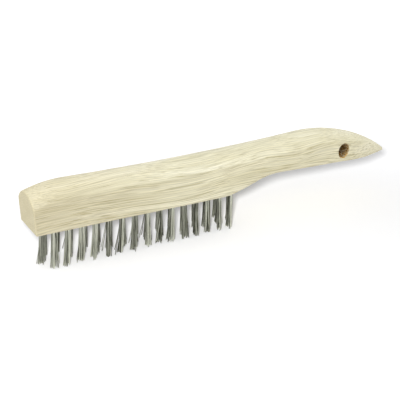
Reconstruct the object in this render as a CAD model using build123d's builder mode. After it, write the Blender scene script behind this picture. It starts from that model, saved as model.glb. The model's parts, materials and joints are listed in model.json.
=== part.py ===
from build123d import *
import os

# Shoe-handle wire scratch brush: one shaped wooden block and handle, drilled for 46 tufts of
# stainless wire. Each tuft is folded over a flat wire anchor at the bottom of its own blind hole.
# The tufts stand in three rows. The outer rows are set half a pitch along from the middle one.
# X runs from the toe (-X) to the handle's tip (+X), Y across the rows, Z up. The brush stands on
# its bristles, with the tips at Z = 0 and the origin under the middle of its length.

os.makedirs("parts", exist_ok=True)

# --- overall sizes, mm ---
overall_length = 254.0        # toe to handle tip
block_width = 25.4            # across the rows
trim_length = 23.7            # bristle that stands out of the sole

# --- back, the top line of the side profile (lengths from the toe, heights above the sole) ---
toe_rake = 0.9                # how far the toe leans forward at its top
toe_height = 21.2
shoulder_from_toe = 24.0      # where the rolled toe meets the back
shoulder_height = 25.0
crest_from_toe = 180.0
crest_height = 28.5
back_sag = 1.5                # how far the back dips below a straight line
crown_height = 6.3            # rise of the rounded back over its two side creases

# --- neck and handle ---
heel_setback = 7.6            # the sole starts to rise this far before the last tuft
heel_round = 25.0
neck_run = 28.5               # slope between the sole and the handle's underside
neck_rise = 8.0
neck_round = 45.0
tip_underside = 5.4
tip_thickness = 1.7
tip_round = 0.7
underside_round = 4.0         # rounded lower edges of the handle
round_fade = 5.0              # they have run out this far below the sole at the heel
taper_from_tip = 58.0         # where the sides begin to close in
tip_width = 4.6
tip_corner_round = 2.0
edge_break = 0.6              # sanded edges of the toe

# --- hang hole ---
hang_hole_diameter = 9.5
hang_hole_from_tip = 43.9
hang_hole_height = 14.8       # above the sole

# --- bristle field ---
middle_row_tufts = 16         # each outer row has one fewer
row_pitch = 8.0
tuft_pitch = 8.1              # along each row
first_tuft_from_toe = 8.2     # in the middle row
hole_diameter = 3.2
hole_depth = 14.0
tuft_clearance = 0.05         # between the packed wires and the wall of their hole
tuft_tip_diameter = 4.2

# --- anchors: short lengths of flat wire, set across the fold of each tuft ---
anchor_length = 4.6
anchor_thickness = 0.5
anchor_height = 1.8
anchor_clearance = 0.05
fold_height = 1.2             # wire folded over the top of the anchor
anchor_edge_round = 0.12

# --- places worked out from the sizes ---
toe_x = -overall_length / 2
tip_x = overall_length / 2
sole_z = trim_length
last_tuft_from_toe = first_tuft_from_toe + (middle_row_tufts - 1) * tuft_pitch
heel_from_toe = last_tuft_from_toe - heel_setback
neck_from_toe = heel_from_toe + neck_run
field_middle_x = toe_x + (first_tuft_from_toe + last_tuft_from_toe) / 2
hole_top_z = sole_z + hole_depth
tuft_root_z = hole_top_z - tuft_clearance
anchor_middle_z = tuft_root_z - fold_height - anchor_clearance - anchor_height / 2
hole_radius = hole_diameter / 2
tuft_radius = hole_radius - tuft_clearance
slit_width = anchor_thickness + 2 * anchor_clearance
slit_height = anchor_height + 2 * anchor_clearance
oversize = 60.0               # depth of the arched section that crowns the back
overshoot = 15.0              # how far the trimming shapes pass the ends of the block


def side_point(from_toe, above_sole):
    # a point of the side profile, as X and Z
    return (toe_x + from_toe, sole_z + above_sole)


toe_top = side_point(0, toe_height)
shoulder = side_point(shoulder_from_toe, shoulder_height)
crest = side_point(crest_from_toe, crest_height)
back_middle = side_point(
    (shoulder_from_toe + crest_from_toe) / 2, (shoulder_height + crest_height) / 2 - back_sag
)
toe_bottom = side_point(toe_rake, 0)
heel = side_point(heel_from_toe, 0)
neck = side_point(neck_from_toe, neck_rise)
tip_bottom = side_point(overall_length, tip_underside)
tip_top = side_point(overall_length, tip_underside + tip_thickness)
before_toe = side_point(
    -overshoot, neck_rise - (neck_from_toe + overshoot) * (neck_rise + round_fade) / neck_run
)
beyond_tip = side_point(
    overall_length + overshoot,
    tip_underside - overshoot * (neck_rise - tip_underside) / (overall_length - neck_from_toe),
)


def draw_back():
    # the top line from toe to tip: a rolled toe, a slightly hollow back and a falling rear
    back = ThreePointArc(shoulder, back_middle, crest)
    roll = TangentArc(shoulder, toe_top, tangent=back % 0 * -1)
    rear = TangentArc(crest, tip_top, tangent=back % 1)
    return roll, back, rear


# --- handle block ---
with BuildPart() as handle:
    with BuildSketch(Plane.XZ) as side_profile:
        with BuildLine():
            draw_back()
            FilletPolyline(toe_bottom, heel, neck, tip_bottom, radius=(heel_round, neck_round))
            Line(toe_bottom, toe_top)
            Line(tip_bottom, tip_top)
        make_face()
        fillet(side_profile.vertices().group_by(Axis.X)[-1], tip_round)
    extrude(amount=block_width / 2, both=True)

    # the crowned back: an arched section that follows the top line, past the toe and the tip
    with BuildLine(Plane.XZ) as crown_path:
        roll, back, rear = draw_back()
        lead_in = Line(roll @ 1 + (roll % 1) * overshoot, roll @ 1)
        Line(rear @ 1, rear @ 1 + (rear % 1) * oversize)
    with BuildSketch(Plane(lead_in @ 0, x_dir=(0, 1, 0), z_dir=lead_in % 0)):
        with BuildLine():
            ThreePointArc(
                (-block_width / 2, -crown_height), (0, 0), (block_width / 2, -crown_height)
            )
            Polyline(
                (-block_width / 2, -crown_height),
                (-block_width / 2, -oversize),
                (block_width / 2, -oversize),
                (block_width / 2, -crown_height),
            )
        make_face()
    sweep(path=crown_path.wires()[0], mode=Mode.INTERSECT)

    # sanded edge of the toe
    toe_face = handle.faces().sort_by(Axis.X)[0]
    fillet(toe_face.edges(), edge_break)

    # the rounded lower edges of the handle: they run out below the sole at the heel
    with BuildLine(Plane.XZ) as underside_path:
        FilletPolyline(before_toe, neck, beyond_tip, radius=neck_round)
    entry = underside_path.edges().sort_by(Axis.X)[0]
    with BuildSketch(Plane(entry @ 0, x_dir=(0, 1, 0), z_dir=entry % 0)) as lower_section:
        Rectangle(block_width, overall_length, align=(Align.CENTER, Align.MIN))
        fillet(lower_section.vertices().group_by(Axis.Y)[0], underside_round)
    sweep(path=underside_path.wires()[0], mode=Mode.INTERSECT)

    # the sides close in towards the tip, seen from above
    with BuildSketch(Plane.XY.offset(sole_z - overshoot)) as plan:
        with BuildLine():
            near_side = TangentArc(
                (tip_x - taper_from_tip, -block_width / 2), (tip_x, -tip_width / 2), tangent=(1, 0)
            )
            far_side = TangentArc(
                (tip_x - taper_from_tip, block_width / 2), (tip_x, tip_width / 2), tangent=(1, 0)
            )
            Line(near_side @ 1, far_side @ 1)
            Polyline(
                near_side @ 0,
                (toe_x - overshoot, -block_width / 2),
                (toe_x - overshoot, block_width / 2),
                far_side @ 0,
            )
        make_face()
        fillet(plan.vertices().group_by(Axis.X)[-1], tip_corner_round)
    extrude(amount=2 * oversize, mode=Mode.INTERSECT)

    # hang hole, drilled across the handle
    with BuildSketch(Plane.XZ):
        with Locations(side_point(overall_length - hang_hole_from_tip, hang_hole_height)):
            Circle(hang_hole_diameter / 2)
    extrude(amount=block_width, both=True, mode=Mode.SUBTRACT)

    # blind holes for the tufts, drilled up from the sole
    with BuildSketch(Plane.XY.offset(hole_top_z)):
        with Locations((field_middle_x, 0)):
            with GridLocations(tuft_pitch, row_pitch, middle_row_tufts, 1):
                Circle(hole_radius)
            with GridLocations(tuft_pitch, 2 * row_pitch, middle_row_tufts - 1, 2):
                Circle(hole_radius)
    extrude(amount=-hole_depth - overshoot, mode=Mode.SUBTRACT)

    # slits that the anchors bite into the walls of the holes
    with BuildSketch(Plane.XY.offset(anchor_middle_z)):
        with Locations((field_middle_x, 0)):
            with GridLocations(tuft_pitch, row_pitch, middle_row_tufts, 1):
                Rectangle(anchor_length + 2 * anchor_clearance, slit_width)
            with GridLocations(tuft_pitch, 2 * row_pitch, middle_row_tufts - 1, 2):
                Rectangle(anchor_length + 2 * anchor_clearance, slit_width)
    extrude(amount=slit_height / 2, both=True, mode=Mode.SUBTRACT)

handle.part.label = "handle_block"
export_step(handle.part, "parts/handle_block.step")
print("handle_block", len(handle.part.solids()), handle.part.is_valid)


# --- tufts and anchors: a node holds one tuft of the middle row and the two beside it ---
for tuft in range(middle_row_tufts):
    middle_x = toe_x + first_tuft_from_toe + tuft * tuft_pitch
    outer_x = middle_x + tuft_pitch / 2
    places = [(middle_x, 0)]
    if tuft < middle_row_tufts - 1:
        places += [(outer_x, -row_pitch), (outer_x, row_pitch)]

    with BuildPart() as tufts:
        with Locations(*places):
            Cone(
                tuft_tip_diameter / 2,
                tuft_radius,
                sole_z,
                align=(Align.CENTER, Align.CENTER, Align.MIN),
            )
        with Locations((0, 0, sole_z)):
            with Locations(*places):
                Cylinder(
                    tuft_radius,
                    tuft_root_z - sole_z,
                    align=(Align.CENTER, Align.CENTER, Align.MIN),
                )
        with Locations((0, 0, anchor_middle_z)):
            with Locations(*places):
                Box(hole_diameter, slit_width, slit_height, mode=Mode.SUBTRACT)
    tufts.part.label = f"wire_tufts_{tuft + 1:02d}"
    export_step(tufts.part, f"parts/{tufts.part.label}.step")

    with BuildPart() as anchors:
        with Locations((0, 0, anchor_middle_z)):
            with Locations(*places):
                Box(anchor_length, anchor_thickness, anchor_height)
        fillet(anchors.edges().filter_by(Axis.X), anchor_edge_round)
    anchors.part.label = f"tuft_anchors_{tuft + 1:02d}"
    export_step(anchors.part, f"parts/{anchors.part.label}.step")
    print(tufts.part.label, len(tufts.part.solids()), len(anchors.part.solids()))
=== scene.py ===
import json
import math
import random

import bmesh
import bpy
from mathutils import Matrix, Vector, noise


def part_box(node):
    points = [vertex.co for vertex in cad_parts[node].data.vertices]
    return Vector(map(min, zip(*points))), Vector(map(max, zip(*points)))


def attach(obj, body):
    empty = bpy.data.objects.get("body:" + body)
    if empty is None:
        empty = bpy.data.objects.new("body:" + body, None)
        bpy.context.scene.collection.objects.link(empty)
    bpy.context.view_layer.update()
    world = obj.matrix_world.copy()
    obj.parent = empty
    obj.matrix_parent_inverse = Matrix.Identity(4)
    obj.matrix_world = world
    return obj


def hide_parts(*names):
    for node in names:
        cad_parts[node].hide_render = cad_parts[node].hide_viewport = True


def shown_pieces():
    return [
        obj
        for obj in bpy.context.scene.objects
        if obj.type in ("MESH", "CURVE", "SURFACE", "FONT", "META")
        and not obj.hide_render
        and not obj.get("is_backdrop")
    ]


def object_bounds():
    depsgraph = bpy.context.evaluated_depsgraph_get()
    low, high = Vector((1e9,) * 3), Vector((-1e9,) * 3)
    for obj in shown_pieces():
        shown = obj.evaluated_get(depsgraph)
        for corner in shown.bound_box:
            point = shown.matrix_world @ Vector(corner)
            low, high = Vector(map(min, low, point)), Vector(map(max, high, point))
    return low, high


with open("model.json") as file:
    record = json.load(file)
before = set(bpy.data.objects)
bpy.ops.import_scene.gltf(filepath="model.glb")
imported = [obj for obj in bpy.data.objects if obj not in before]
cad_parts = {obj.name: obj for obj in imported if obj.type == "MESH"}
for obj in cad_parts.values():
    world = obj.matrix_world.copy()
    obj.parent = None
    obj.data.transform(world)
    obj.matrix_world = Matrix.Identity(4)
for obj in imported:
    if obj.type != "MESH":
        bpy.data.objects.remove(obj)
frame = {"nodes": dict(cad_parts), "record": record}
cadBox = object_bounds()
nodes = frame["nodes"]
mm = 0.001
print("frame loaded:", len(nodes), "nodes")

# The camera stands off the toe's near side and looks down along the block, rolled by about a
# degree. Its place is in millimetres, and its clipping distances are in metres.
camera = {
    "place": (-245.8, -378.0, 205.1),
    "forward": (0.4756, 0.7894, -0.3881),
    "up": (0.1809, 0.3440, 0.9214),
    "lens": 70.75,
    "sensor": 36.0,
    "nearest": 0.01,
    "farthest": 30,
}
forward = Vector(camera["forward"]).normalized()
rightwards = forward.cross(Vector(camera["up"])).normalized()
upwards = rightwards.cross(forward)
cameraTurn = Matrix((rightwards, upwards, -forward)).transposed()
cameraPlace = Matrix.Translation(Vector(camera["place"]) * mm)
cameraData = bpy.data.cameras.new("camera")
cameraData.lens = camera["lens"]
cameraData.sensor_width = camera["sensor"]
cameraData.clip_start = camera["nearest"]
cameraData.clip_end = camera["farthest"]
cameraObject = bpy.data.objects.new("camera", cameraData)
cameraObject.matrix_world = cameraPlace @ cameraTurn.to_4x4()
bpy.context.collection.objects.link(cameraObject)
bpy.context.scene.camera = cameraObject
bpy.context.scene.view_settings.view_transform = "Standard"
print("camera placed")


def hexColour(text):
    # sRGB hex to linear, with full alpha
    channels = [int(text[i:i + 2], 16) / 255 for i in (0, 2, 4)]
    linear = [c / 12.92 if c <= 0.04045 else ((c + 0.055) / 1.055) ** 2.4 for c in channels]
    return (*linear, 1.0)


def addNode(tree, kind, settings=None, values=None, links=None, stops=None):
    # one node with its settings, socket values, incoming links and, for a ramp, its colour stops
    node = tree.nodes.new(kind)
    for name, value in (settings or {}).items():
        setattr(node, name, value)
    for socket, value in (values or {}).items():
        node.inputs[socket].default_value = value
    for socket, source in (links or {}).items():
        tree.links.new(source, node.inputs[socket])
    for index, (position, colour) in enumerate(stops or []):
        ramp = node.color_ramp.elements
        stop = ramp[index] if index < 2 else ramp.new(position)
        stop.position = position
        stop.color = colour
    return node


def numbered(*values):
    # socket values in order, for the sockets after a node's first one
    return dict(enumerate(values, 1))


def colourStops(finish, name):
    # a finish's ramp stops, which name its colours: a third one is put between the first two
    return [(position, hexColour(finish[colour])) for position, colour in finish[name]]


def newMaterial(name):
    material = bpy.data.materials.new(name)
    material.use_nodes = True
    tree = material.node_tree
    tree.nodes.clear()
    shader = addNode(tree, "ShaderNodeBsdfPrincipled")
    addNode(tree, "ShaderNodeOutputMaterial", links={"Surface": shader.outputs[0]})
    return material, tree, shader


def addPiece(name, mesh, material, slot, *replaced):
    piece = bpy.data.objects.new(name, mesh)
    bpy.context.collection.objects.link(piece)
    mesh.materials.clear()
    mesh.materials.append(material)
    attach(piece, "root")
    if replaced:
        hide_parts(*replaced)
    return piece


def grainNoise(tree, coords, size, detail=2.0, roughness=0.5):
    # noise drawn out along the grain: size is its length, width and height in millimetres
    scale = [1000 / s for s in size]
    mapping = addNode(tree, "ShaderNodeMapping", values={"Scale": scale}, links={"Vector": coords})
    return addNode(
        tree,
        "ShaderNodeTexNoise",
        values={"Scale": 1.0, "Detail": detail, "Roughness": roughness},
        links={"Vector": mapping.outputs[0]},
    ).outputs["Fac"]


# Bare sanded basswood, milled to shape and left without varnish. The eye sees a pale straw wood
# with soft lengthwise streaks, short darker pores, duller end grain, and a matt surface. The real
# fibres and pores are less than a tenth of a millimetre wide, too fine to show at the camera's
# distance, so both are drawn ten to twenty times coarser. Lengths are in millimetres, and a
# pattern's size is its length, width and height along the block.
wood = {
    "pale": "f1ebd0",
    "middle": "e6dfbf",
    "dark": "d8d0ac",
    "streak": "b8ad80",
    "pore": "998d5e",
    # darkens the end faces, as end grain and as painted shade
    "endGrainAndShade": "f0f0ee",  # tints the wood under it
    "agedToe": "f5f0e7",  # tints the wood under it
    "scorchDark": "7c4c08",
    "scorchLight": "f4c25c",
    "roughness": 0.62,
    "ior": 1.48,

    # the broad bands of the grain, and how the grain wanders: waves in a metre, and largest shift
    "bandSize": (170, 9, 5),
    "bandStops": ((0.30, "dark"), (0.72, "pale"), (0.50, "middle")),
    "bendWaves": (12, 30, 30),
    "bendShift": (0, 10, 14),

    # growth lines: their direction across the block, and the part of each wave that darkens
    "lineSpacing": 1.25,
    "lineDirection": (0, 0.42, 0.9),
    "lineWanderSize": (60, 6, 4),
    "lineWander": 14.0,
    "linePart": (-0.2, 1.0),
    "lineDepth": 0.13,

    # streaks, fibres and pores
    "streakSize": (58, 0.9, 0.6),
    "fibreSize": (22, 0.6, 0.45),
    "poreSize": (16, 0.8, 0.55),

    # masks and tones: between the first two numbers each goes from the third to the fourth
    "streakMask": (0.53, 0.64, 0.0, 0.80),
    "sandedBack": (0.45, 0.80, 1.0, 0.45),
    "fibreTone": (0.3, 0.7, 0.87, 1.09),
    "poreMask": (0.62, 0.76, 0.0, 0.5),
    "crossGrain": (0.16, 0.45, 1.0, 0.38),
    "sideMask": (0.45, 0.90, 0.0, 1.0),
    "endShadeMask": (0.75, 0.97, 0.0, 1.0),
    "backMask": (0.45, 0.85, 0.0, 1.0),
    "patchMask": (0.40, 0.62, 0.15, 1.0),

    # the sides' darkening and the age towards the toe, and where along the block they start and
    # end
    "sideDarkening": 0.86,
    "sideDarkeningReach": (-127, -20),
    "agedReach": (-127, -40),

    # the scorched wall of the hang hole, and the painted shade that darkens it deeper in the hole
    "scorchStops": ((0.35, "scorchDark"), (0.70, "scorchLight")),
    "scorchSize": (6, 0.9, 0.6),
    "scorchEdge": (0.95, 0.45),  # outside the hole's radius
    "holeShadeReach": (12.5, 4),  # from the middle of the handle's width
    "holeShadeDeepest": 0.42,
    "raggedSize": (2.4, 1.4, 0.8),
    "raggedShift": 1.2,
    "bareShine": 0.5,
    "charShine": 0.08,

    # the moulder's chatter
    "chatterPitch": 1.5,
    "chatterDirection": (0.80, 0.60, 0),
    "chatterPatchSize": (30, 9, 9),
    "chatterReach": (55, 15),  # along the block
    "chatterDepth": 0.09,

    # open pores and raised fibres
    "reliefStrength": 0.6,
    "fibreDepth": 0.06,
    "poreDepth": 0.08,
}
hangHole = next(m for m in frame["record"]["mounts"] if m["name"] == "hang_hole")
holeAxis = Vector((hangHole["pos_m"][0], 0, hangHole["pos_m"][2]))
holeRadius = hangHole["dims"]["r_mm"]


# A colour mix takes its two colours at sockets 6 and 7, and gives the mixed one at output 2.
def makeWood():
    material, tree, shader = newMaterial("bareSandedBasswood")
    coords = addNode(tree, "ShaderNodeTexCoord")
    objectCoords = coords.outputs["Object"]
    objectParts = addNode(tree, "ShaderNodeSeparateXYZ", links={0: objectCoords})
    normalParts = addNode(tree, "ShaderNodeSeparateXYZ", links={0: coords.outputs["Normal"]})

    # the grain wanders by a few millimetres over several centimetres
    bend = addNode(
        tree,
        "ShaderNodeMapping",
        values={"Scale": wood["bendWaves"]},
        links={"Vector": objectCoords},
    )
    bendNoise = addNode(
        tree,
        "ShaderNodeTexNoise",
        values={"Scale": 1.0, "Detail": 1.0},
        links={"Vector": bend.outputs[0]},
    )
    bendOffset = addNode(
        tree,
        "ShaderNodeVectorMath",
        {"operation": "MULTIPLY_ADD"},
        {1: [shift * mm for shift in wood["bendShift"]]},
        {0: bendNoise.outputs["Color"], 2: objectCoords},
    )
    grain = bendOffset.outputs[0]

    bands = grainNoise(tree, grain, wood["bandSize"], detail=3.0)
    streaks = grainNoise(tree, grain, wood["streakSize"], detail=3.0, roughness=0.6)
    fibres = grainNoise(tree, grain, wood["fibreSize"])
    pores = grainNoise(tree, grain, wood["poreSize"], detail=1.0)

    # growth lines run lengthwise, tilted across the block and a little uneven
    lineWander = grainNoise(tree, grain, wood["lineWanderSize"])
    lineRate = math.tau * 1000 / wood["lineSpacing"]  # radians in a metre
    linePhase = addNode(
        tree,
        "ShaderNodeVectorMath",
        {"operation": "DOT_PRODUCT"},
        {1: [part * lineRate for part in wood["lineDirection"]]},
        {0: grain},
    )
    wanderedPhase = addNode(
        tree,
        "ShaderNodeMath",
        {"operation": "MULTIPLY_ADD"},
        {1: wood["lineWander"]},
        {0: lineWander, 2: linePhase.outputs["Value"]},
    )
    lineWave = addNode(
        tree, "ShaderNodeMath", {"operation": "SINE"}, links={0: wanderedPhase.outputs[0]}
    )
    lines = addNode(
        tree,
        "ShaderNodeMapRange",
        values=numbered(*wood["linePart"], 1.0, 1.0 - wood["lineDepth"]),
        links={0: lineWave.outputs[0]},
    )

    bandColour = addNode(
        tree, "ShaderNodeValToRGB", links={"Fac": bands}, stops=colourStops(wood, "bandStops")
    )
    streakMask = addNode(
        tree, "ShaderNodeMapRange", values=numbered(*wood["streakMask"]), links={0: streaks}
    )
    # the back is sanded more, so its streaks are fainter
    sanding = addNode(
        tree,
        "ShaderNodeMapRange",
        values=numbered(*wood["sandedBack"]),
        links={0: normalParts.outputs[2]},
    )
    streakStrength = addNode(
        tree,
        "ShaderNodeMath",
        {"operation": "MULTIPLY"},
        links={0: streakMask.outputs[0], 1: sanding.outputs[0]},
    )
    streaked = addNode(
        tree,
        "ShaderNodeMix",
        {"data_type": "RGBA"},
        {7: hexColour(wood["streak"])},
        {0: streakStrength.outputs[0], 6: bandColour.outputs[0]},
    )
    fibreTone = addNode(
        tree, "ShaderNodeMapRange", values=numbered(*wood["fibreTone"]), links={0: fibres}
    )
    lineTone = addNode(
        tree,
        "ShaderNodeMath",
        {"operation": "MULTIPLY"},
        links={0: fibreTone.outputs[0], 1: lines.outputs[0]},
    )
    fibred = addNode(
        tree,
        "ShaderNodeVectorMath",
        {"operation": "SCALE"},
        links={0: streaked.outputs[2], "Scale": lineTone.outputs[0]},
    )
    poreMask = addNode(
        tree, "ShaderNodeMapRange", values=numbered(*wood["poreMask"]), links={0: pores}
    )
    pored = addNode(
        tree,
        "ShaderNodeMix",
        {"data_type": "RGBA"},
        {7: hexColour(wood["pore"])},
        {0: poreMask.outputs[0], 6: fibred.outputs[0]},
    )

    # where the surface cuts across the grain its lines are short and faint
    endFace = addNode(
        tree, "ShaderNodeMath", {"operation": "ABSOLUTE"}, links={0: normalParts.outputs[0]}
    )
    crossGrain = addNode(
        tree,
        "ShaderNodeMapRange",
        values=numbered(*wood["crossGrain"]),
        links={0: endFace.outputs[0]},
    )
    evened = addNode(
        tree,
        "ShaderNodeMix",
        {"data_type": "RGBA"},
        {6: hexColour(wood["middle"])},
        {0: crossGrain.outputs[0], 7: pored.outputs[2]},
    )

    # the sides are darker towards the toe
    sideFace = addNode(
        tree, "ShaderNodeMath", {"operation": "ABSOLUTE"}, links={0: normalParts.outputs[1]}
    )
    sideMask = addNode(
        tree,
        "ShaderNodeMapRange",
        values=numbered(*wood["sideMask"]),
        links={0: sideFace.outputs[0]},
    )
    darkeningFrom, darkeningTo = [x * mm for x in wood["sideDarkeningReach"]]
    darkeningAlong = addNode(
        tree,
        "ShaderNodeMapRange",
        values=numbered(darkeningFrom, darkeningTo, 1 - wood["sideDarkening"], 0.0),
        links={0: objectParts.outputs[0]},
    )
    sideDarkeningTone = addNode(
        tree,
        "ShaderNodeMath",
        {"operation": "MULTIPLY"},
        links={0: darkeningAlong.outputs[0], 1: sideMask.outputs[0]},
    )
    sideTone = addNode(
        tree, "ShaderNodeMath", {"operation": "SUBTRACT"}, {0: 1.0}, {1: sideDarkeningTone.outputs[0]}
    )
    sideDarkened = addNode(
        tree,
        "ShaderNodeVectorMath",
        {"operation": "SCALE"},
        links={0: evened.outputs[2], "Scale": sideTone.outputs[0]},
    )

    # the toe's end of the block has aged darker and warmer
    agedFrom, agedTo = [x * mm for x in wood["agedReach"]]
    agedMask = addNode(
        tree,
        "ShaderNodeMapRange",
        values=numbered(agedFrom, agedTo, 1.0, 0.0),
        links={0: objectParts.outputs[0]},
    )
    aged = addNode(
        tree,
        "ShaderNodeMix",
        {"data_type": "RGBA", "blend_type": "MULTIPLY"},
        {7: hexColour(wood["agedToe"])},
        {0: agedMask.outputs[0], 6: sideDarkened.outputs[0]},
    )

    # the end faces are darker than the sides: partly their end grain, partly painted shade for the
    # lesser light they get
    endShadeMask = addNode(
        tree,
        "ShaderNodeMapRange",
        values=numbered(*wood["endShadeMask"]),
        links={0: endFace.outputs[0]},
    )
    endShaded = addNode(
        tree,
        "ShaderNodeMix",
        {"data_type": "RGBA", "blend_type": "MULTIPLY"},
        {7: hexColour(wood["endGrainAndShade"])},
        {0: endShadeMask.outputs[0], 6: aged.outputs[2]},
    )

    # the drill has scorched the wall of the hang hole, with torn pale fibres left in it
    toHole = addNode(
        tree,
        "ShaderNodeVectorMath",
        {"operation": "SUBTRACT"},
        {1: holeAxis},
        {0: objectCoords},
    )
    acrossHole = addNode(
        tree,
        "ShaderNodeVectorMath",
        {"operation": "MULTIPLY"},
        {1: (1, 0, 1)},
        {0: toHole.outputs[0]},
    )
    holeDistance = addNode(
        tree, "ShaderNodeVectorMath", {"operation": "LENGTH"}, links={0: acrossHole.outputs[0]}
    )
    ragged = grainNoise(tree, objectCoords, wood["raggedSize"])
    raggedShift = addNode(
        tree,
        "ShaderNodeMath",
        {"operation": "MULTIPLY_ADD"},
        {1: wood["raggedShift"] * mm},
        {0: ragged, 2: holeDistance.outputs["Value"]},
    )
    scorchStart, scorchFull = [(holeRadius + edge) * mm for edge in wood["scorchEdge"]]
    holeMask = addNode(
        tree,
        "ShaderNodeMapRange",
        values=numbered(scorchStart, scorchFull, 0.0, 1.0),
        links={0: raggedShift.outputs[0]},
    )
    scorchGrain = grainNoise(tree, objectCoords, wood["scorchSize"], detail=3.0, roughness=0.6)
    scorch = addNode(
        tree,
        "ShaderNodeValToRGB",
        links={"Fac": scorchGrain},
        stops=colourStops(wood, "scorchStops"),
    )
    fromMiddle = addNode(
        tree, "ShaderNodeMath", {"operation": "ABSOLUTE"}, links={0: objectParts.outputs[1]}
    )
    # painted shade: the scorched wall is darker deeper in the hole, towards the middle of the
    # handle's width
    holeShadeFrom, holeShadeTo = [y * mm for y in wood["holeShadeReach"]]
    holeDepthShade = addNode(
        tree,
        "ShaderNodeMapRange",
        values=numbered(holeShadeFrom, holeShadeTo, 1.0, wood["holeShadeDeepest"]),
        links={0: fromMiddle.outputs[0]},
    )
    shadedScorch = addNode(
        tree,
        "ShaderNodeVectorMath",
        {"operation": "SCALE"},
        links={0: scorch.outputs[0], "Scale": holeDepthShade.outputs[0]},
    )
    finished = addNode(
        tree,
        "ShaderNodeMix",
        {"data_type": "RGBA"},
        links={0: holeMask.outputs[0], 6: endShaded.outputs[2], 7: shadedScorch.outputs[0]},
    )
    tree.links.new(finished.outputs[2], shader.inputs["Base Color"])
    shine = addNode(
        tree,
        "ShaderNodeMapRange",
        values=numbered(0.0, 1.0, wood["bareShine"], wood["charShine"]),
        links={0: holeMask.outputs[0]},
    )
    tree.links.new(shine.outputs[0], shader.inputs["Specular IOR Level"])

    # the moulder's knives leave a fine slanting chatter on the back, stronger in some patches
    chatterRate = math.tau * 1000 / wood["chatterPitch"]  # radians in a metre
    chatterPhase = addNode(
        tree,
        "ShaderNodeVectorMath",
        {"operation": "DOT_PRODUCT"},
        {1: [part * chatterRate for part in wood["chatterDirection"]]},
        {0: objectCoords},
    )
    chatterWave = addNode(
        tree, "ShaderNodeMath", {"operation": "SINE"}, links={0: chatterPhase.outputs["Value"]}
    )
    patches = grainNoise(tree, objectCoords, wood["chatterPatchSize"], detail=1.0)
    backFace = addNode(
        tree,
        "ShaderNodeMapRange",
        values=numbered(*wood["backMask"]),
        links={0: normalParts.outputs[2]},
    )
    patchMask = addNode(
        tree, "ShaderNodeMapRange", values=numbered(*wood["patchMask"]), links={0: patches}
    )
    chatterMask = addNode(
        tree,
        "ShaderNodeMath",
        {"operation": "MULTIPLY"},
        links={0: backFace.outputs[0], 1: patchMask.outputs[0]},
    )
    chatterEnd, chatterFull = [x * mm for x in wood["chatterReach"]]
    alongBlock = addNode(
        tree,
        "ShaderNodeMapRange",
        values=numbered(chatterEnd, chatterFull, 0.0, 1.0),
        links={0: objectParts.outputs[0]},
    )
    blockWave = addNode(
        tree,
        "ShaderNodeMath",
        {"operation": "MULTIPLY"},
        links={0: chatterWave.outputs[0], 1: alongBlock.outputs[0]},
    )
    chatter = addNode(
        tree,
        "ShaderNodeMath",
        {"operation": "MULTIPLY"},
        links={0: blockWave.outputs[0], 1: chatterMask.outputs[0]},
    )
    chatterRelief = addNode(
        tree,
        "ShaderNodeBump",
        values={"Strength": 1.0, "Distance": wood["chatterDepth"] * mm},
        links={"Height": chatter.outputs[0]},
    )

    # open pores and raised fibres
    reliefStrength = addNode(
        tree,
        "ShaderNodeMath",
        {"operation": "MULTIPLY"},
        {1: wood["reliefStrength"]},
        {0: crossGrain.outputs[0]},
    )
    poreRelief = addNode(
        tree,
        "ShaderNodeBump",
        {"invert": True},
        {"Distance": wood["poreDepth"] * mm},
        {
            "Strength": reliefStrength.outputs[0],
            "Height": poreMask.outputs[0],
            "Normal": chatterRelief.outputs[0],
        },
    )
    fibreRelief = addNode(
        tree,
        "ShaderNodeBump",
        values={"Distance": wood["fibreDepth"] * mm},
        links={
            "Strength": reliefStrength.outputs[0],
            "Height": fibres,
            "Normal": poreRelief.outputs[0],
        },
    )
    tree.links.new(fibreRelief.outputs[0], shader.inputs["Normal"])
    shader.inputs["Roughness"].default_value = wood["roughness"]
    shader.inputs["IOR"].default_value = wood["ior"]
    return material


# Drawn stainless steel wire, with the dull skin that the die leaves. The eye sees grey wires with
# a faint olive cast, some lighter than others, and dark gaps between them. The skin's real
# mottling is finer than the wire, and is drawn in patches of several millimetres so that it shows.
wire = {
    "light": "dfe1d2",
    "dark": "5a5b4e",
    "toneStops": ((0.42, "dark"), (1.0, "light")),
    "roughness": 0.36,
    "gauge": 0.41,
    "dullSize": (0.8, 0.8, 6),
    "dullShare": 0.5,
}


def makeWire():
    material, tree, shader = newMaterial("drawnStainlessWire")
    tone = addNode(tree, "ShaderNodeAttribute", {"attribute_name": "wireTone"})
    objectCoords = addNode(tree, "ShaderNodeTexCoord").outputs["Object"]
    dull = grainNoise(tree, objectCoords, wire["dullSize"])
    shade = addNode(
        tree,
        "ShaderNodeMath",
        {"operation": "MULTIPLY_ADD"},
        {1: wire["dullShare"]},
        {0: dull, 2: tone.outputs["Fac"]},
    )
    colour = addNode(
        tree,
        "ShaderNodeValToRGB",
        links={"Fac": shade.outputs[0]},
        stops=colourStops(wire, "toneStops"),
    )
    tree.links.new(colour.outputs[0], shader.inputs["Base Color"])
    shader.inputs["Metallic"].default_value = 1.0
    shader.inputs["Roughness"].default_value = wire["roughness"]
    return material


# Rolled flat steel wire, cut to length. The eye sees a plain grey strip with rolling lines, which
# are drawn a tenth of a millimetre wide, coarser than the real ones. Lengths are in millimetres.
anchor = {
    "light": "b5b6b7",
    "dark": "8e8f90",
    "lineStops": ((0.3, "dark"), (0.7, "light")),
    "lineSize": (4, 0.1, 0.1),
    "roughness": 0.33,
    "halfLength": 2.3,
    "halfThickness": 0.25,
}


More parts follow.
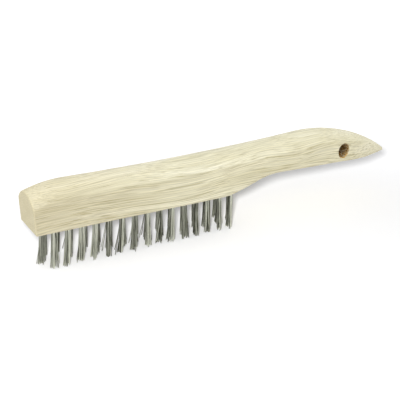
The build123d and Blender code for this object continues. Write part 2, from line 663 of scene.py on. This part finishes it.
def makeAnchorSteel():
    material, tree, shader = newMaterial("rolledFlatSteel")
    objectCoords = addNode(tree, "ShaderNodeTexCoord").outputs["Object"]
    lines = grainNoise(tree, objectCoords, anchor["lineSize"])
    colour = addNode(
        tree, "ShaderNodeValToRGB", links={"Fac": lines}, stops=colourStops(anchor, "lineStops")
    )
    tree.links.new(colour.outputs[0], shader.inputs["Base Color"])
    shader.inputs["Metallic"].default_value = 1.0
    shader.inputs["Roughness"].default_value = anchor["roughness"]
    return material


woodMaterial = makeWood()
wireMaterial = makeWire()
anchorMaterial = makeAnchorSteel()
print("materials made")

# The handle is remeshed from the solid, so that its edges soften and its faces can carry waves.
# Lengths are in millimetres, and a start shifts a pattern by that many times its own size.
handle = {
    "weld": 0.001,
    "voxel": 0.62,
    "softening": 5,
    "softeningFactor": 0.5,
    "waveSize": (26, 9, 9),
    "waveHeight": 0.12,
    "fibreSize": (30, 1.3, 1.3),
    "fibreStart": (0, 7, 0),
    "fibreHeight": 0.035,
    "splinterSize": (2.2, 3, 0.7),
    "splinterStart": (0, 0, 11),
    "splinterHeight": 0.35,
    "splinterReach": 2.2,
}


def evaluatedMesh(source):
    depsgraph = bpy.context.evaluated_depsgraph_get()
    return bpy.data.meshes.new_from_object(source.evaluated_get(depsgraph))


def noiseAt(place, size, start=(0, 0, 0)):
    return noise.noise([p / s + away for p, s, away in zip(place, size, start)])


def makeHandle():
    block = nodes["handle_block"].data.copy()
    bm = bmesh.new()
    bm.from_mesh(block)
    bmesh.ops.remove_doubles(bm, verts=bm.verts, dist=handle["weld"] * mm)
    bm.to_mesh(block)
    bm.free()
    rough = bpy.data.objects.new("handleRough", block)
    bpy.context.collection.objects.link(rough)
    remesh = rough.modifiers.new("remesh", "REMESH")
    remesh.mode = "VOXEL"
    remesh.voxel_size = handle["voxel"] * mm
    remesh.adaptivity = 0
    smooth = rough.modifiers.new("smooth", "SMOOTH")
    smooth.factor = handle["softeningFactor"]
    smooth.iterations = handle["softening"]
    mesh = evaluatedMesh(rough)
    bpy.data.objects.remove(rough)

    # hand sanding leaves long shallow waves, and the drill lifts splinters round the hang hole
    bm = bmesh.new()
    bm.from_mesh(mesh)
    bm.normal_update()
    shifts = []
    for v in bm.verts:
        place = v.co / mm
        wave = noiseAt(place, handle["waveSize"]) * handle["waveHeight"]
        fibre = noiseAt(place, handle["fibreSize"], handle["fibreStart"]) * handle["fibreHeight"]
        toAxis = Vector((v.co.x - holeAxis.x, 0, v.co.z - holeAxis.z)).length / mm
        torn = max(0.0, 1 - abs(toAxis - holeRadius) / handle["splinterReach"]) ** 2
        splinter = noiseAt(place, handle["splinterSize"], handle["splinterStart"]) * torn
        shifts.append(v.normal * (wave + fibre + splinter * handle["splinterHeight"]) * mm)
    for v, shift in zip(bm.verts, shifts):
        v.co += shift
    for face in bm.faces:
        face.smooth = True
    bm.to_mesh(mesh)
    bm.free()
    mesh.name = "handle_wood"
    return mesh


handlePiece = addPiece("handle_wood", makeHandle(), woodMaterial, "wood", "handle_block")
print("handle made:", len(handlePiece.data.polygons), "faces")

# The tufts: every wire is a swept tube, folded over its anchor, and follows one of the strands
# that its tuft has gathered into. Lengths are in millimetres.
tufts = {
    "nodeCount": 16,
    "seed": 410,
    # distance of each layer from the anchor's middle, and the number of wires in it
    "layers": ((0.46, 7), (0.83, 6), (1.20, 4)),
    "spacing": 0.42,
    "columns": 4,  # strands on each side of the anchor

    # how the tufts lean along the block, and how far tufts, strands and wires differ
    "leanAtToe": -1.5,
    "leanAtHeel": 0.7,
    "fieldLength": 135,
    "tuftScatter": 0.45,
    "strandScatter": 0.38,
    "wireScatter": 0.30,
    "strayShare": 0.12,
    "strayFactor": 3.5,

    # how a wire spreads from its tuft's middle and bows on its way down
    "flare": 0.12,
    "flareRange": (0.6, 1.4),
    "bow": 0.18,
    "legParts": (1.0, 0.66, 0.33, 0.0),
    "legCurve": 1.5,

    # the uneven trim at the tips
    "strandTrim": 1.2,
    "wireTrim": 0.8,
    "longestTrim": 4.2,

    # the fold over the anchor: its start below the top, and its rise and step in wire gauges
    "foldStart": 0.4,
    "foldRise": 0.6,
    "foldStep": 0.62,

    # how light each wire is
    "tuftTone": 0.06,
    "strandToneShare": 0.2,
    "wireToneShare": 0.8,
}
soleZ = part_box("handle_block")[0][2] / mm


def tuftPlaces(number):
    # the middle and outer tufts of a node, read from the ends of its anchors
    low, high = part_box(f"tuft_anchors_{number:02d}")
    places = [(low[0] / mm + anchor["halfLength"], 0.0)]
    rowPitch = high[1] / mm - anchor["halfThickness"]
    if rowPitch > 1:  # the last node has no outer tufts
        outerX = high[0] / mm - anchor["halfLength"]
        places += [(outerX, -rowPitch), (outerX, rowPitch)]
    return places


def legPoints(rng, root, tuft, leaning, strand):
    # one leg of a folded wire, from its tip up to the anchor
    outwards = 1 + tufts["flare"] * rng.uniform(*tufts["flareRange"])
    spread = tufts["wireScatter"]
    if rng.random() < tufts["strayShare"]:
        spread *= tufts["strayFactor"]
    driftX = strand["drift"][0] + rng.gauss(0, spread)
    driftY = strand["drift"][1] + rng.gauss(0, spread)
    trim = min(tufts["longestTrim"], strand["trim"] + abs(rng.gauss(0, tufts["wireTrim"])))
    tipZ = wire["gauge"] / 2 + trim
    bow = rng.uniform(-tufts["bow"], tufts["bow"])
    points = []
    for part in tufts["legParts"]:
        eased = part ** tufts["legCurve"]
        x = root[0] * (1 + (outwards - 1) * eased) + (driftX + leaning[0]) * eased
        y = root[1] * (1 + (outwards - 1) * eased) + (driftY + leaning[1]) * eased
        x += bow * math.sin(part * math.pi)
        points.append((tuft[0] + x, tuft[1] + y, soleZ + (tipZ - soleZ) * part))
    return points


def makeTufts(number):
    rng = random.Random(tufts["seed"] + number)
    curve = bpy.data.curves.new(f"wires_{number:02d}", "CURVE")
    curve.dimensions = "3D"
    curve.bevel_depth = wire["gauge"] / 2 * mm
    curve.bevel_resolution = 1
    curve.use_fill_caps = True
    curve.resolution_u = 1
    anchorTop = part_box(f"tuft_anchors_{number:02d}")[1][2] / mm
    foldStartZ = anchorTop - tufts["foldStart"]
    columns = tufts["columns"]
    scatter = tufts["strandScatter"]
    tones = []
    for tuft in tuftPlaces(number):
        along = (tuft[0] - cadBox[0][0] / mm) / tufts["fieldLength"]
        blockLean = tufts["leanAtToe"] * (1 - along) + tufts["leanAtHeel"] * along
        leaning = (
            blockLean + rng.gauss(0, tufts["tuftScatter"]),
            rng.gauss(0, tufts["tuftScatter"]),
        )
        tuftTone = rng.uniform(-tufts["tuftTone"], tufts["tuftTone"])
        strands = [
            {
                "drift": (rng.gauss(0, scatter), rng.gauss(0, scatter)),
                "trim": abs(rng.gauss(0, tufts["strandTrim"])),
                "tone": rng.random(),
            }
            for _ in range(2 * columns)
        ]
        for layerIndex, (layer, count) in enumerate(tufts["layers"]):
            foldGauges = tufts["foldRise"] + tufts["foldStep"] * layerIndex
            foldTop = anchorTop + wire["gauge"] * foldGauges
            for index in range(count):
                x = (index - (count - 1) / 2) * tufts["spacing"]
                column = index * columns // count
                near, far = strands[column], strands[column + columns]
                nearLeg = legPoints(rng, (x, -layer), tuft, leaning, near)
                farLeg = legPoints(rng, (x, layer), tuft, leaning, far)
                fold = [
                    (tuft[0] + x, tuft[1] - layer, foldStartZ),
                    (tuft[0] + x, tuft[1], foldTop),
                    (tuft[0] + x, tuft[1] + layer, foldStartZ),
                ]
                points = nearLeg + fold + farLeg[::-1]
                spline = curve.splines.new("POLY")
                spline.points.add(len(points) - 1)
                for point, place in zip(spline.points, points):
                    point.co = (*[c * mm for c in place], 1)
                wireTone = tufts["wireToneShare"] * rng.random()
                tones.append(tufts["strandToneShare"] * near["tone"] + wireTone + tuftTone)
    path = bpy.data.objects.new("wirePath", curve)
    bpy.context.collection.objects.link(path)
    mesh = evaluatedMesh(path)
    bpy.data.objects.remove(path)
    mesh.name = f"wires_{number:02d}"
    perWire = len(mesh.vertices) // len(tones)
    if perWire * len(tones) != len(mesh.vertices):
        raise ValueError("the wires don't all have the same number of vertices")
    toneValues = [tones[i // perWire] for i in range(len(mesh.vertices))]
    mesh.attributes.new("wireTone", "FLOAT", "POINT").data.foreach_set("value", toneValues)
    for polygon in mesh.polygons:
        polygon.use_smooth = True
    return mesh


wireFaces = 0
for number in range(1, tufts["nodeCount"] + 1):
    wires = addPiece(
        f"wires_{number:02d}",
        makeTufts(number),
        wireMaterial,
        "stainless_wire",
        f"wire_tufts_{number:02d}",
    )
    wireFaces += len(wires.data.polygons)
    anchors = nodes[f"tuft_anchors_{number:02d}"]
    for materialSlot in anchors.material_slots:
        materialSlot.material = anchorMaterial
print("tufts made:", wireFaces, "faces")

# A white floor and soft light, as on a packshot table. Lengths are in metres but for the lamp's.
studio = {
    "floorSize": 6.0,
    "floorColour": "f7f7f8",
    "floorRoughness": 0.9,
    "glowCentre": (0, -0.12, 0),
    "glowStart": 0.13,
    "glowEnd": 0.45,
    "glow": 0.60,
    "surround": 0.46,
    "lampStrength": 54.0,
    "lampRadius": 24,  # millimetres
    "lampAside": 19,  # millimetres
    "overhead": 17.0,
    "overheadColour": "f3f7ff",
    "overheadSize": 1.6,
    "overheadTowards": (-0.25, -0.35, 1.0),
    "overheadDistance": 1.2,
}


def makeFloor():
    # white paper, which glows with painted light further from the brush so that it stays white
    material, tree, shader = newMaterial("matteWhitePaper")
    objectCoords = addNode(tree, "ShaderNodeTexCoord").outputs["Object"]
    distance = addNode(
        tree,
        "ShaderNodeVectorMath",
        {"operation": "DISTANCE"},
        {1: studio["glowCentre"]},
        {0: objectCoords},
    )
    glow = addNode(
        tree,
        "ShaderNodeMapRange",
        {"interpolation_type": "SMOOTHSTEP"},
        numbered(studio["glowStart"], studio["glowEnd"], 0.0, studio["glow"]),
        {0: distance.outputs["Value"]},
    )
    shader.inputs["Base Color"].default_value = hexColour(studio["floorColour"])
    shader.inputs["Roughness"].default_value = studio["floorRoughness"]
    shader.inputs["Specular IOR Level"].default_value = 0.0
    shader.inputs["Emission Color"].default_value = (1, 1, 1, 1)
    tree.links.new(glow.outputs[0], shader.inputs["Emission Strength"])
    mesh = bpy.data.meshes.new("floor")
    bm = bmesh.new()
    bmesh.ops.create_grid(bm, x_segments=1, y_segments=1, size=studio["floorSize"] / 2)
    bm.to_mesh(mesh)
    bm.free()
    mesh.materials.append(material)
    floor = bpy.data.objects.new("floor", mesh)
    bpy.context.collection.objects.link(floor)
    floor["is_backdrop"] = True
    return floor


def addLight(name, kind, place, turn=None):
    data = bpy.data.lights.new(name, kind)
    light = bpy.data.objects.new(name, data)
    light.matrix_world = Matrix.Translation(place) @ (turn or Matrix.Identity(3)).to_4x4()
    bpy.context.collection.objects.link(light)
    return light


floor = makeFloor()
world = bpy.data.worlds.new("studio")
bpy.context.scene.world = world
world.use_nodes = True
background = world.node_tree.nodes["Background"]
background.inputs["Color"].default_value = (1, 1, 1, 1)
background.inputs["Strength"].default_value = studio["surround"]

# the floor has a lamp of its own, close above and left of the camera, so shadows hug the brush
floorOnly = bpy.data.collections.new("floorOnly")
floorOnly.objects.link(floor)
lampShift = (upwards - rightwards) * studio["lampAside"] * mm
lampPlace = cameraObject.matrix_world.translation + lampShift
floorLamp = addLight("floorLamp", "POINT", lampPlace)
floorLamp.data.energy = 1.0
floorLamp.data.shadow_soft_size = studio["lampRadius"] * mm
floorLamp.data.use_nodes = True
lampTree = floorLamp.data.node_tree
evenLight = addNode(
    lampTree, "ShaderNodeLightFalloff", values={"Strength": studio["lampStrength"]}
)
lampTree.links.new(evenLight.outputs["Constant"], lampTree.nodes["Emission"].inputs["Strength"])
floorLamp.light_linking.receiver_collection = floorOnly

# a wide soft box overhead lights the brush alone
brushOnly = bpy.data.collections.new("brushOnly")
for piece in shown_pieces():
    brushOnly.objects.link(piece)
boxTowards = Vector(studio["overheadTowards"]).normalized()
boxPlace = boxTowards * studio["overheadDistance"]
boxTurn = boxTowards.to_track_quat("Z", "Y").to_matrix()
overhead = addLight("overhead", "AREA", boxPlace, boxTurn)
overhead.data.energy = studio["overhead"]
overhead.data.color = hexColour(studio["overheadColour"])[:3]
overhead.data.size = studio["overheadSize"]
overhead.light_linking.receiver_collection = brushOnly
print("studio lit")
